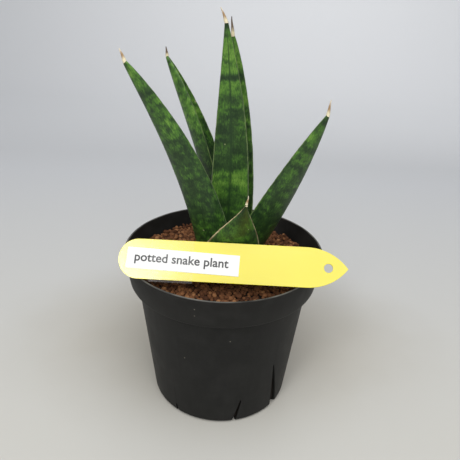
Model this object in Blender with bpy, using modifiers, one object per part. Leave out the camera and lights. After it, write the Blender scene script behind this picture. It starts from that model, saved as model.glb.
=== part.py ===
"""Potted snake plant, modelled in metres with +Z up.

Six channelled, sword-shaped leaves stand on one short rhizome, bedded in clay granules in a black
slit-sided nursery pot 120 mm across. A plastic plant label leans across the rim against the front leaf.
The origin is the middle of the pot's underside, and -Y is the side that the label faces.
Sizes below are in millimetres; MM turns them into metres where a mesh or a placing uses them.
"""
import math
from typing import NamedTuple

import bmesh
import bpy
from mathutils import Matrix, Vector

MM = 0.001

# --- Pot -----------------------------------------------------------------------------------------
RIM_RADIUS = 60.0            # outer radius of the rim, for the 120 mm trade size
POT_HEIGHT = 101.0
BASE_RADIUS = 43.4           # outer radius that the wall's slope would reach at the floor
SHOULDER_RADIUS = 52.4       # outer radius of the wall just under the collar
COLLAR_HEIGHT = 18.9
COLLAR_FOOT_RADIUS = 56.8    # outer radius of the collar's lower edge
WALL = 1.3                   # wall thickness of the pot, collar included
BASE_THICKNESS = 1.6
BASE_FILLET = 3.5            # outer radius between the underside and the wall
RIM_LIP = 0.6                # rounding at the top of the rim
POT_STEPS = 48               # straight sides round every turned part

# --- Root slits ----------------------------------------------------------------------------------
SLIT_TOP_WIDTH = 0.8
SLIT_REACH = 10.0            # how far a slit runs in under the base


class Slit(NamedTuple):
    """One root slit: its azimuth and the lean off the wall's own line in degrees, and its size."""
    azimuth: float
    foot_width: float
    height: float
    lean: float


# The soft wall lets some slits gape and others close up, so each has its own width and lean.
SLITS = (
    Slit(-126.0, 2.6, 7.0, 3.0),
    Slit(-77.5, 3.0, 19.5, -11.0),
    Slit(-37.0, 6.4, 41.0, 12.0),
    Slit(5.0, 2.6, 34.0, 2.0),
    Slit(50.0, 3.0, 36.0, -2.0),
    Slit(96.0, 2.4, 32.0, 3.0),
    Slit(140.0, 3.2, 36.0, -3.0),
    Slit(186.0, 2.8, 34.0, 2.0),
)

# --- Growing medium ------------------------------------------------------------------------------
FILL_DEPTH = 11.5            # how far below the rim the granules meet the wall
MOUND = 2.0                  # how far the middle stands above that
CLEARANCE = 0.3              # gap kept between pieces that touch
MEDIUM_RINGS = 6             # rings of points across the mounded top
FILL_HEIGHT = POT_HEIGHT - FILL_DEPTH

# --- Rhizome and roots ---------------------------------------------------------------------------
CROWN_CENTRE = (2.5, 11.0)
FOOT_DEPTH = 9.5             # how far below the granules the leaves leave the rhizome
FOOT_LEVEL = FILL_HEIGHT - FOOT_DEPTH
RHIZOME_RADIUS = 17.0
RHIZOME_STRETCH = 1.5        # how much longer it is along Y, the way that it creeps
RHIZOME_DEPTH = 15.0
RHIZOME_STEPS = 24
ROOT_COUNT = 6
ROOT_RADIUS = 1.2
ROOT_REACH = 6.0            # how far a root runs out from the rhizome
ROOT_DROP = 30.0             # how far it sinks on the way
ROOT_POINTS = 6

# --- Leaves --------------------------------------------------------------------------------------
LEAF_RINGS = 16              # sections along a blade
LEAF_SPAN = 7                # points across each face of a blade
TIP_HALF_WIDTH = 0.9         # half the width where the blade turns into its dry spine
TIP_THICKNESS_SHARE = 0.30   # blade thickness at the tip, as a share of that at the foot
MARGIN_THICKNESS_SHARE = 0.22
FOOT_NARROWING = 0.18        # how much a blade draws in where it leaves the rhizome
SPINE_SHARES = (0.72, 0.5, 0.32, 0.14)   # radius of the spine's sections, of its root's


class Leaf(NamedTuple):
    """One blade: where it stands and ends, how it arches, and the shape of its sections."""
    foot: tuple              # x, y of the foot
    tip: tuple               # x, y and height over its foot where the green blade ends
    arch: tuple              # x, y that the middle is carried off the straight line
    face: float              # direction that the channelled face looks in at the foot, degrees
    twist: float             # how far that direction turns by the tip
    fold: float              # angle that a section wraps round its channel, degrees
    opening: float           # share of the fold that is lost by the tip
    half_width: float        # half the width of the flattened blade
    shoulder: float          # the higher, the longer the blade stays wide
    taper: float             # the higher, the slimmer its point
    thickness: float
    spine: tuple             # x, y, z of the dry spine, from the blade's end


LEAVES = {
    "leaf_front": Leaf((0.3, -14.0), (11.0, -36.0, 64.8), (-0.3, 2.4), 94.0, 12.0, 88.0, 0.5,
                       20.0, 3.0, 1.62, 3.2, (0.7, 0.0, 4.9)),
    "leaf_left": Leaf((-2.5, -6.0), (-52.0, -14.0, 129.9), (10.0, -2.0), 80.0, -20.0, 80.0, 0.5,
                      12.3, 2.08, 0.78, 4.2, (-2.0, 0.0, 6.0)),
    "leaf_right": Leaf((3.5, 2.0), (52.8, -6.0, 105.0), (1.1, -1.0), 100.0, 22.0, 75.0, 0.5,
                       10.5, 3.2, 0.92, 4.0, (0.6, 0.0, 8.0)),
    "leaf_centre": Leaf((-0.2, 9.0), (-2.7, 17.0, 147.2), (3.7, 2.0), -92.0, 0.0, 85.0, 0.5,
                        13.5, 2.3, 1.09, 4.2, (-3.0, 0.0, 7.0)),
    "leaf_centre_back": Leaf((6.0, 17.0), (0.9, 28.0, 139.4), (3.7, 2.0), -85.0, 0.0, 80.0, 0.5,
                             11.0, 2.05, 0.78, 3.8, (-0.8, 0.0, 9.7)),
    "leaf_back_left": Leaf((3.5, 34.0), (-37.9, 44.0, 125.0), (4.5, 3.0), -25.0, 30.0, 170.0, -0.1,
                           16.5, 4.0, 0.83, 3.4, (-0.4, 0.0, 5.0)),
}

# --- Plant label ---------------------------------------------------------------------------------
LABEL_LENGTH = 124.3
LABEL_WIDTH = 22.0
LABEL_THICKNESS = 0.8
LABEL_POINT_LENGTH = 22.0    # length of the pointed end
LABEL_LEAN = 40.0            # degrees that it leans back from upright
LABEL_YAW = -2.15            # degrees that its length turns off +X
LABEL_PLACE = (-57.2, -40.8)   # x, y of its rounded end's lower corner
LABEL_HOLE_RADIUS = 2.4
LABEL_HOLE_INSET = 10.7      # from the point to the hole's centre
LABEL_ARC_STEPS = 10

STICKER_LENGTH = 61.0
STICKER_WIDTH = 11.4
STICKER_THICKNESS = 0.15
STICKER_CENTRE = (35.2, 10.5)  # along and up the label, from its lower left corner
STICKER_TURN = -1.75         # degrees, stuck on a little askew
FILM_GAP = 0.12              # gap kept under the sticker and the tape

TAPE_WIDTH = 23.7            # along the label
TAPE_LENGTH = 23.0           # across the label, standing out below its lower edge
TAPE_THICKNESS = 0.12
TAPE_CENTRE = (29.2, 10.2)


# --- Scene helpers -------------------------------------------------------------------------------

def clear_scene():
    """Remove every object, so that the file holds only the plant."""
    for item in list(bpy.data.objects):
        bpy.data.objects.remove(item, do_unlink=True)


def new_collection(name):
    """A collection of that name, linked to the scene."""
    group = bpy.data.collections.new(name)
    bpy.context.scene.collection.children.link(group)
    return group


def surface(name, colour, roughness, alpha=1.0):
    """A Principled material of one colour."""
    material = bpy.data.materials.new(name)
    material.use_nodes = True
    shader = material.node_tree.nodes["Principled BSDF"]
    shader.inputs["Base Color"].default_value = (*colour, 1.0)
    shader.inputs["Roughness"].default_value = roughness
    shader.inputs["Metallic"].default_value = 0.0
    shader.inputs["Alpha"].default_value = alpha
    return material


def place(mesh_data, name, group, material=None):
    """An object of that name and mesh in the collection, in the material if one is given."""
    item = bpy.data.objects.new(name, mesh_data)
    group.objects.link(item)
    if material:
        mesh_data.materials.append(material)
    return item


def mesh_from(shape, name):
    """Turn a bmesh in millimetres into mesh data in metres, with its faces pointing out."""
    bmesh.ops.recalc_face_normals(shape, faces=shape.faces)
    bmesh.ops.scale(shape, vec=(MM, MM, MM), verts=shape.verts)
    data = bpy.data.meshes.new(name)
    shape.to_mesh(data)
    shape.free()
    return data


def smooth(item, angle=35.0):
    """Shade an object smooth, except across edges sharper than the angle in degrees."""
    item.data.shade_smooth()
    item.data.set_sharp_from_angle(angle=math.radians(angle))


def turned(name, profile, steps, group, material):
    """Turn a profile of (radius, height) points in millimetres about Z, with a Screw modifier.

    The profile runs down the piece's outer side, and its ends lie on the axis.
    """
    shape = bmesh.new()
    points = [shape.verts.new((radius, 0.0, height)) for radius, height in profile]
    for start, end in zip(points, points[1:]):
        shape.edges.new((start, end))
    bmesh.ops.scale(shape, vec=(MM, MM, MM), verts=shape.verts)
    data = bpy.data.meshes.new(name)
    shape.to_mesh(data)
    shape.free()
    item = place(data, name, group, material)
    screw = item.modifiers.new("turn", "SCREW")
    screw.axis = "Z"
    screw.steps = steps
    screw.render_steps = steps
    screw.use_merge_vertices = True
    screw.merge_threshold = 0.00001
    return item


def as_guide(item):
    """Keep an object out of the build: it only cuts others."""
    item.hide_render = True
    item.display_type = "WIRE"
    return item


def cut(item, cutter, name):
    """Take a cutter out of an object with a Boolean modifier."""
    modifier = item.modifiers.new(name, "BOOLEAN")
    modifier.operation = "DIFFERENCE"
    modifier.solver = "EXACT"
    modifier.object = cutter


# --- Pot -----------------------------------------------------------------------------------------

def wall_radius(height):
    """Outer radius of the pot's wall at a height, below the collar."""
    share = height / (POT_HEIGHT - COLLAR_HEIGHT)
    return BASE_RADIUS + (SHOULDER_RADIUS - BASE_RADIUS) * share


def collar_radius(height):
    """Outer radius of the collar at a height."""
    share = (height - POT_HEIGHT + COLLAR_HEIGHT) / COLLAR_HEIGHT
    return COLLAR_FOOT_RADIUS + (RIM_RADIUS - COLLAR_FOOT_RADIUS) * share


def base_corner(inset):
    """Points of the rounded corner between wall and base, moved in by an inset, wall end first."""
    slope = (SHOULDER_RADIUS - BASE_RADIUS) / (POT_HEIGHT - COLLAR_HEIGHT)
    centre_radius = wall_radius(BASE_FILLET) - BASE_FILLET * math.hypot(1.0, slope)
    wall_angle = -math.atan(slope)
    points = []
    for step in range(5):
        angle = wall_angle + (-math.pi / 2 - wall_angle) * step / 4
        reach = BASE_FILLET - inset
        points.append((centre_radius + reach * math.cos(angle), BASE_FILLET + reach * math.sin(angle)))
    return points


def pot_profile():
    """The pot's section, from the middle of its floor up the inside and down the outside."""
    collar_foot = POT_HEIGHT - COLLAR_HEIGHT
    inner = [(radius, height + BASE_THICKNESS - WALL) for radius, height in reversed(base_corner(WALL))]
    step_up = collar_foot + 2.0 * WALL
    inside = [(0.0, BASE_THICKNESS), *inner,
              (wall_radius(collar_foot) - WALL, collar_foot),
              (collar_radius(step_up) - WALL, step_up),
              (RIM_RADIUS - WALL, POT_HEIGHT - RIM_LIP / 2),
              (RIM_RADIUS - WALL + RIM_LIP / 2, POT_HEIGHT)]
    outside = [(RIM_RADIUS - RIM_LIP, POT_HEIGHT),
               (RIM_RADIUS, POT_HEIGHT - RIM_LIP),
               (collar_radius(collar_foot + RIM_LIP), collar_foot + RIM_LIP),
               (COLLAR_FOOT_RADIUS - RIM_LIP, collar_foot),
               (wall_radius(collar_foot - WALL) + RIM_LIP, collar_foot - RIM_LIP),
               (wall_radius(collar_foot - 2.0 * WALL), collar_foot - 2.0 * WALL),
               *base_corner(0.0), (0.0, 0.0)]
    return inside + outside


def slit_cutter(group):
    """One wedge for each root slit, narrow at its top and wide at the floor, as one cutter mesh."""
    shape = bmesh.new()
    inner = BASE_RADIUS - BASE_FILLET - SLIT_REACH
    outer = RIM_RADIUS
    below = BASE_FILLET
    for slit in SLITS:
        wedge = bmesh.ops.create_cube(shape, size=1.0)["verts"]
        for corner in wedge:
            at_top = corner.co.z > 0.0
            width = SLIT_TOP_WIDTH if at_top else slit.foot_width
            corner.co.x = outer if corner.co.x > 0.0 else inner
            corner.co.y *= width
            corner.co.z = slit.height if at_top else -below
        tilt = Matrix.Rotation(math.radians(slit.lean), 4, "X")
        turn = Matrix.Rotation(math.radians(slit.azimuth), 4, "Z")
        bmesh.ops.transform(shape, matrix=turn @ tilt, verts=wedge)
    return as_guide(place(mesh_from(shape, "slits"), "slits", group))


def make_pot(parts, cutters, material):
    """The pot, turned from its section, with its slits cut."""
    pot = turned("pot", pot_profile(), POT_STEPS, parts, material)
    cut(pot, slit_cutter(cutters), "slits")
    smooth(pot)
    return pot


# --- Leaves --------------------------------------------------------------------------------------

def leaf_frame(leaf, t):
    """Middle, across and inward directions of a blade's section at t, 0 at the foot and 1 at the tip."""
    foot = Vector((*leaf.foot, FOOT_LEVEL))
    tip = Vector((*leaf.tip[:2], FOOT_LEVEL + leaf.tip[2]))
    arch = Vector((*leaf.arch, 0.0))
    middle = foot.lerp(tip, t) + arch * (4.0 * t * (1.0 - t))
    along = (tip - foot + arch * (4.0 * (1.0 - 2.0 * t))).normalized()
    azimuth = math.radians(leaf.face + leaf.twist * t)
    inward = Vector((math.cos(azimuth), math.sin(azimuth), 0.0))
    inward = (inward - along * inward.dot(along)).normalized()
    return middle, along.cross(inward), inward


def leaf_section(leaf, t, grow):
    """Points round one section of a blade: its channelled face, then its back.

    A section is an arc of the blade's fold, thinner at its margins. grow moves every side out.
    """
    middle, across, inward = leaf_frame(leaf, t)
    narrowing = 1.0 - FOOT_NARROWING * (1.0 - t) ** 5
    swell = (1.0 - t ** leaf.shoulder) ** leaf.taper * narrowing
    half = TIP_HALF_WIDTH + (leaf.half_width - TIP_HALF_WIDTH) * swell
    half_fold = math.radians(leaf.fold) / 2.0 * (1.0 - leaf.opening * t)
    radius = half / half_fold
    sink = 0.45 * radius * (1.0 - math.cos(half_fold))
    tip_share = TIP_THICKNESS_SHARE + (1.0 - TIP_THICKNESS_SHARE) * (1.0 - t) ** 0.7
    faces = []
    for side in (1.0, -1.0):
        face = []
        for index in range(LEAF_SPAN):
            share = -1.0 + 2.0 * index / (LEAF_SPAN - 1)
            body = math.sqrt(max(0.0, 1.0 - share * share))
            body = MARGIN_THICKNESS_SHARE + (1.0 - MARGIN_THICKNESS_SHARE) * body
            thickness = min(leaf.thickness * tip_share * body, 1.2 * half, 1.5 * radius)
            angle = share * half_fold * (1.0 + grow / half)
            offset = side * (thickness / 2.0 + grow)
            sideways = radius * math.sin(angle) - math.sin(angle) * offset
            rise = radius * (1.0 - math.cos(angle)) - sink + math.cos(angle) * offset
            face.append(middle + across * sideways + inward * rise)
        faces.append(face)
    return faces[0] + faces[1][::-1]


def spine_section(leaf, share):
    """Points round one section of the dry spine, whose radius is a share of its root's."""
    tip, across, inward = leaf_frame(leaf, 1.0)
    index = SPINE_SHARES.index(share) + 1
    middle = tip + Vector(leaf.spine) * (index / len(SPINE_SHARES))
    count = 2 * LEAF_SPAN
    points = []
    for step in range(count):
        angle = math.pi - 2.0 * math.pi * (step + 0.5) / count
        radius = TIP_HALF_WIDTH * share
        points.append(middle + (across * math.cos(angle) + inward * math.sin(angle)) * radius)
    return points


def loft(name, sections):
    """Mesh data of a closed loft through rings of points, capped at both ends."""
    shape = bmesh.new()
    rings = [[shape.verts.new(point) for point in section] for section in sections]
    for lower, upper in zip(rings, rings[1:]):
        count = len(lower)
        for index in range(count):
            after = (index + 1) % count
            shape.faces.new((lower[index], lower[after], upper[after], upper[index]))
    shape.faces.new(rings[0][::-1])
    shape.faces.new(rings[-1])
    bmesh.ops.triangulate(shape, faces=[face for face in shape.faces if len(face.verts) > 4])
    return mesh_from(shape, name)


def leaf_sections(leaf, grow, level, highest):
    """Sections of a blade from its level foot up to the first one past a height."""
    sections = []
    for index in range(LEAF_RINGS):
        t = index / (LEAF_RINGS - 1)
        sections.append(leaf_section(leaf, t, grow))
        if leaf_frame(leaf, t)[0].z > highest:
            break
    for point in sections[0]:
        point.z = level
    return sections


def make_leaf(name, leaf, parts, material):
    """A whole leaf: the green blade and the dry spine that ends it."""
    sections = leaf_sections(leaf, 0.0, FOOT_LEVEL, FOOT_LEVEL + leaf.tip[2])
    sections += [spine_section(leaf, share) for share in SPINE_SHARES]
    item = place(loft(name, sections), name, parts, material)
    smooth(item, 50.0)
    return item


def socket_cutter(name, leaf, cutters):
    """The buried foot of a leaf, grown by the clearance, to cut its socket in the granules."""
    highest = FILL_HEIGHT + MOUND + leaf.half_width
    sections = leaf_sections(leaf, 1.5 * CLEARANCE, FOOT_LEVEL - 2.0 * CLEARANCE, highest)
    return as_guide(place(loft(name, sections), name, cutters))


# --- Rhizome and roots ---------------------------------------------------------------------------

def rhizome_profile(grow):
    """Section of the rhizome's knob, grown by a gap, from the middle of its top downwards."""
    top = FOOT_LEVEL - CLEARANCE + grow
    radius = RHIZOME_RADIUS + grow
    depth = RHIZOME_DEPTH + 2.0 * grow
    return [(0.0, top), (0.85 * radius, top), (radius, top - 0.2 * depth),
            (0.95 * radius, top - 0.65 * depth), (0.6 * radius, top - depth), (0.0, top - depth)]


def make_rhizome(parts, cutters, material):
    """The rhizome, a squat turned knob under the leaves, and its cutter for the granules."""
    rhizome = turned("rhizome", rhizome_profile(0.0), RHIZOME_STEPS, parts, material)
    hollow = as_guide(turned("rhizome_hollow", rhizome_profile(CLEARANCE), RHIZOME_STEPS, cutters, None))
    for item in (rhizome, hollow):
        item.location = (CROWN_CENTRE[0] * MM, CROWN_CENTRE[1] * MM, 0.0)
        item.scale.y = RHIZOME_STRETCH
    smooth(rhizome)
    return hollow


def root_path(number):
    """Points of one root, from just off the rhizome's side, out and down in a slack curve."""
    azimuth = 2.0 * math.pi * (number + 0.3) / ROOT_COUNT
    out = Vector((math.cos(azimuth), math.sin(azimuth), 0.0))
    aside = Vector((-out.y, out.x, 0.0))
    edge = Vector((out.x, out.y * RHIZOME_STRETCH, 0.0)) * RHIZOME_RADIUS
    start = edge + out * (ROOT_RADIUS + CLEARANCE)
    level = FOOT_LEVEL - 0.5 * RHIZOME_DEPTH
    points = []
    for step in range(ROOT_POINTS):
        t = step / (ROOT_POINTS - 1)
        point = Vector((*CROWN_CENTRE, level)) + start + out * (ROOT_REACH * math.sin(t * math.pi / 2.0))
        point += aside * (4.0 * math.sin(t * math.pi + number)) * t
        point.z -= ROOT_DROP * t * t
        points.append(point)
    return points


def root_tube(name, points, radius, group):
    """A root as a mesh: a curve with round section and filled ends, then welded closed."""
    curve = bpy.data.curves.new(name, "CURVE")
    curve.dimensions = "3D"
    curve.bevel_depth = radius * MM
    curve.bevel_resolution = 1
    curve.use_fill_caps = True
    spline = curve.splines.new("POLY")
    spline.points.add(len(points) - 1)
    for knot, point in zip(spline.points, points):
        knot.co = (*(point * MM), 1.0)
    wire = place(curve, name + "_wire", group)
    evaluated = wire.evaluated_get(bpy.context.evaluated_depsgraph_get())
    data = bpy.data.meshes.new_from_object(evaluated)
    shape = bmesh.new()
    shape.from_mesh(data)
    bmesh.ops.remove_doubles(shape, verts=shape.verts, dist=0.00001)
    bmesh.ops.recalc_face_normals(shape, faces=shape.faces)
    shape.to_mesh(data)
    shape.free()
    item = place(data, name, group)
    item.matrix_world = wire.matrix_world
    bpy.data.objects.remove(wire, do_unlink=True)
    return item


def make_roots(parts, cutters, material):
    """The roots, and a cutter for each channel that they lie in."""
    hollows = []
    for number in range(ROOT_COUNT):
        points = root_path(number)
        root = root_tube(f"root_{number + 1}", points, ROOT_RADIUS, parts)
        root.data.materials.append(material)
        smooth(root)
        inward = (points[0] - points[1]).normalized() * (3.0 * ROOT_RADIUS)
        onward = (points[-1] - points[-2]).normalized() * (2.0 * CLEARANCE)
        longer = [points[0] + inward, *points[1:-1], points[-1] + onward]
        hollow = root_tube(f"root_hollow_{number + 1}", longer, ROOT_RADIUS + 2.0 * CLEARANCE, cutters)
        hollows.append(as_guide(hollow))
    return hollows


# --- Growing medium ------------------------------------------------------------------------------

def medium_profile():
    """Section of the granule bed: a mounded top, then down the inside of collar, wall and floor."""
    gap = WALL + CLEARANCE
    collar_foot = POT_HEIGHT - COLLAR_HEIGHT
    ledge = collar_foot + 2.0 * WALL + 2.0 * CLEARANCE
    rim = collar_radius(FILL_HEIGHT) - gap
    top = []
    for ring in range(MEDIUM_RINGS + 1):
        share = ring / MEDIUM_RINGS
        top.append((rim * share, FILL_HEIGHT + MOUND * (1.0 - share * share)))
    side = [(collar_radius(ledge) - gap, ledge), (wall_radius(collar_foot) - gap, collar_foot + 2.0 * CLEARANCE)]
    floor = BASE_THICKNESS + CLEARANCE
    lift = BASE_THICKNESS - WALL
    corner = [(radius, height + lift) for radius, height in base_corner(gap)]
    return [*top, *side, *corner[:-1], (corner[-1][0], floor), (0.0, floor)]


def make_medium(parts, hollows, material):
    """The bed of clay granules, with a socket for each leaf, the rhizome and the roots."""
    medium = turned("growing_medium", medium_profile(), POT_STEPS, parts, material)
    for hollow in hollows:
        cut(medium, hollow, hollow.name)
    return medium


# --- Label ---------------------------------------------------------------------------------------

def label_outline():
    """Outline of the label, from its lower left corner's height: a round end and a pointed end."""
    half = LABEL_WIDTH / 2.0
    points = []
    for step in range(LABEL_ARC_STEPS + 1):
        angle = math.pi / 2.0 + math.pi * step / LABEL_ARC_STEPS
        points.append((half + half * math.cos(angle), half + half * math.sin(angle)))
    # The pointed end is two arcs that leave the sides smoothly and meet at the point.
    length = LABEL_POINT_LENGTH
    radius = (length * length + half * half) / (2.0 * half)
    sweep = math.asin(length / radius)
    shoulder = LABEL_LENGTH - length
    lower = []
    for step in range(LABEL_ARC_STEPS + 1):
        angle = sweep * step / LABEL_ARC_STEPS
        lower.append((shoulder + radius * math.sin(angle), radius * (1.0 - math.cos(angle))))
    upper = [(x, LABEL_WIDTH - y) for x, y in reversed(lower[:-1])]
    return points + lower + upper


def plate(name, outline, holes, thickness, lift):
    """Mesh data of a flat plate from a 2D curve: outline and holes, standing lift above Z = 0."""
    curve = bpy.data.curves.new(name, "CURVE")
    curve.dimensions = "2D"
    curve.fill_mode = "BOTH"
    curve.extrude = thickness / 2.0 * MM
    for loop in (outline, *holes):
        spline = curve.splines.new("POLY")
        spline.points.add(len(loop) - 1)
        spline.use_cyclic_u = True
        for knot, (x, y) in zip(spline.points, loop):
            knot.co = (x * MM, y * MM, 0.0, 1.0)
    flat = bpy.data.objects.new(name + "_outline", curve)
    bpy.context.scene.collection.objects.link(flat)
    evaluated = flat.evaluated_get(bpy.context.evaluated_depsgraph_get())
    data = bpy.data.meshes.new_from_object(evaluated)
    bpy.data.objects.remove(flat, do_unlink=True)
    shape = bmesh.new()
    shape.from_mesh(data)
    bmesh.ops.remove_doubles(shape, verts=shape.verts, dist=0.00001)
    bmesh.ops.recalc_face_normals(shape, faces=shape.faces)
    bmesh.ops.translate(shape, vec=(0.0, 0.0, (lift + thickness / 2.0) * MM), verts=shape.verts)
    shape.to_mesh(data)
    shape.free()
    return data


def rectangle(centre, length, width, turn=0.0):
    """Corners of a rectangle about a centre, turned by some degrees."""
    spin = Matrix.Rotation(math.radians(turn), 2)
    corners = []
    for x, y in ((-1, -1), (1, -1), (1, 1), (-1, 1)):
        corner = spin @ Vector((x * length / 2.0, y * width / 2.0))
        corners.append((centre[0] + corner.x, centre[1] + corner.y))
    return corners


def circle(centre, radius, count=20):
    """Points round a circle."""
    turns = [2.0 * math.pi * step / count for step in range(count)]
    return [(centre[0] + radius * math.cos(angle), centre[1] + radius * math.sin(angle)) for angle in turns]


def label_support():
    """The empty that leans the label: its X runs along the label and its Z out of the label's face."""
    support = bpy.data.objects.new("label_support", None)
    bpy.context.scene.collection.objects.link(support)
    lowest = LABEL_THICKNESS * math.sin(math.radians(LABEL_LEAN))
    support.location = (LABEL_PLACE[0] * MM, LABEL_PLACE[1] * MM, (POT_HEIGHT + CLEARANCE + lowest) * MM)
    yaw = Matrix.Rotation(math.radians(LABEL_YAW), 4, "Z")
    tilt = Matrix.Rotation(math.radians(90.0 - LABEL_LEAN), 4, "X")
    support.rotation_euler = (yaw @ tilt).to_euler()
    return support


def make_label(parts, plastic, paper, film):
    """The label, the sticker on its face and the clear tape over the sticker's end."""
    hole = circle((LABEL_LENGTH - LABEL_HOLE_INSET, LABEL_WIDTH / 2.0), LABEL_HOLE_RADIUS)
    sticker = rectangle(STICKER_CENTRE, STICKER_LENGTH, STICKER_WIDTH, STICKER_TURN)
    tape = rectangle(TAPE_CENTRE, TAPE_WIDTH, TAPE_LENGTH)
    sticker_lift = FILM_GAP
    tape_lift = sticker_lift + STICKER_THICKNESS + FILM_GAP
    support = label_support()
    for name, outline, holes, thickness, lift, material in (
            ("plant_label", label_outline(), [hole], LABEL_THICKNESS, -LABEL_THICKNESS, plastic),
            ("label_sticker", sticker, [], STICKER_THICKNESS, sticker_lift, paper),
            ("label_tape", tape, [], TAPE_THICKNESS, tape_lift, film)):
        item = place(plate(name, outline, holes, thickness, lift), name, parts, material)
        item.parent = support


# --- Whole plant ---------------------------------------------------------------------------------

def main():
    """Build every piece in its place."""
    clear_scene()
    parts = new_collection("potted_snake_plant")
    cutters = new_collection("cutters")
    black_plastic = surface("black_polypropylene", (0.018, 0.018, 0.018), 0.5)
    clay = surface("baked_clay_granules", (0.16, 0.05, 0.02), 0.95)
    blade = surface("banded_leaf", (0.03, 0.11, 0.02), 0.4)
    rind = surface("rhizome_rind", (0.42, 0.26, 0.12), 0.7)
    yellow = surface("yellow_label_plastic", (0.97, 0.88, 0.16), 0.25)
    paper = surface("white_sticker_paper", (0.9, 0.9, 0.9), 0.6)
    film = surface("clear_tape", (0.95, 0.95, 0.9), 0.1, 0.35)

    make_pot(parts, cutters, black_plastic)
    hollows = [make_rhizome(parts, cutters, rind)]
    hollows += make_roots(parts, cutters, rind)
    for name, leaf in LEAVES.items():
        make_leaf(name, leaf, parts, blade)
        hollows.append(socket_cutter(name + "_socket", leaf, cutters))
    make_medium(parts, hollows, clay)
    make_label(parts, yellow, paper, film)


main()
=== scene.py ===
"""A young snake plant in a black slotted nursery pot, with its yellow plant label, on a pale studio floor.

Sizes are in millimetres in the row frame: the pot stands on z = 0, its axis is Z, and -Y is its front.
Each mesh is scaled to metres once, at the end of its making.
"""

import logging
import random
from dataclasses import dataclass
from enum import Enum
from math import asin, atan, copysign, cos, hypot, pi, radians, sin, sqrt

import bmesh
import bpy
from bmesh.types import BMesh, BMVert
from bpy.types import Material, Node, NodeSocket as Socket, Object
from mathutils import Matrix, Vector, noise


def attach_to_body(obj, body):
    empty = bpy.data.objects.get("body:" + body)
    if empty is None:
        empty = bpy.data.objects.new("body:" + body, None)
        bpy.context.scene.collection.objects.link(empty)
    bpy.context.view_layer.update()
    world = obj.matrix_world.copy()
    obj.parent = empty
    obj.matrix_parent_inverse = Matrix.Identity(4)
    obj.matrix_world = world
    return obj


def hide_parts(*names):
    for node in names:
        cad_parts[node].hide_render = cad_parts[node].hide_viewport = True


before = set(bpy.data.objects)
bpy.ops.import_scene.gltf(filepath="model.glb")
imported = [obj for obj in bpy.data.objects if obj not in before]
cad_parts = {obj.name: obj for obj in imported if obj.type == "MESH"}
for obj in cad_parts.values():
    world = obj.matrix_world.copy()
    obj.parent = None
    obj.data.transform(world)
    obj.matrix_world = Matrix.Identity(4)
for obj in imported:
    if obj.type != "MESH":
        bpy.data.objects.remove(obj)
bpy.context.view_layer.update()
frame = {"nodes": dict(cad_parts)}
LOG = logging.getLogger("snake_plant")
MM = 0.001
ROOT_BODY = "root"

POT_HEIGHT = 101.0
COLLAR_HEIGHT = 18.9
CLEARANCE = 0.3
FOOT_LEVEL = 80.0
FILL_HEIGHT = 89.5
MOUND = 2.0


class Slot(Enum):
    """The record's material slots."""

    POT = "pot_plastic"
    GRANULES = "clay_granules"
    LEAF = "leaf"
    RHIZOME = "rhizome_rind"
    LABEL = "label_plastic"
    STICKER = "sticker_paper"
    TAPE = "clear_tape"


# --- Colour and nodes ---

def linear(hex_colour: str) -> tuple:
    """Turn an sRGB hex colour into a linear one.

    Args:
        hex_colour: Six hex digits, red first.

    Returns:
        Linear red, green, blue and an alpha of 1.
    """
    parts = [int(hex_colour[at:at + 2], 16) / 255.0 for at in (0, 2, 4)]
    return (*[c / 12.92 if c <= 0.04045 else ((c + 0.055) / 1.055) ** 2.4 for c in parts], 1.0)


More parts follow.
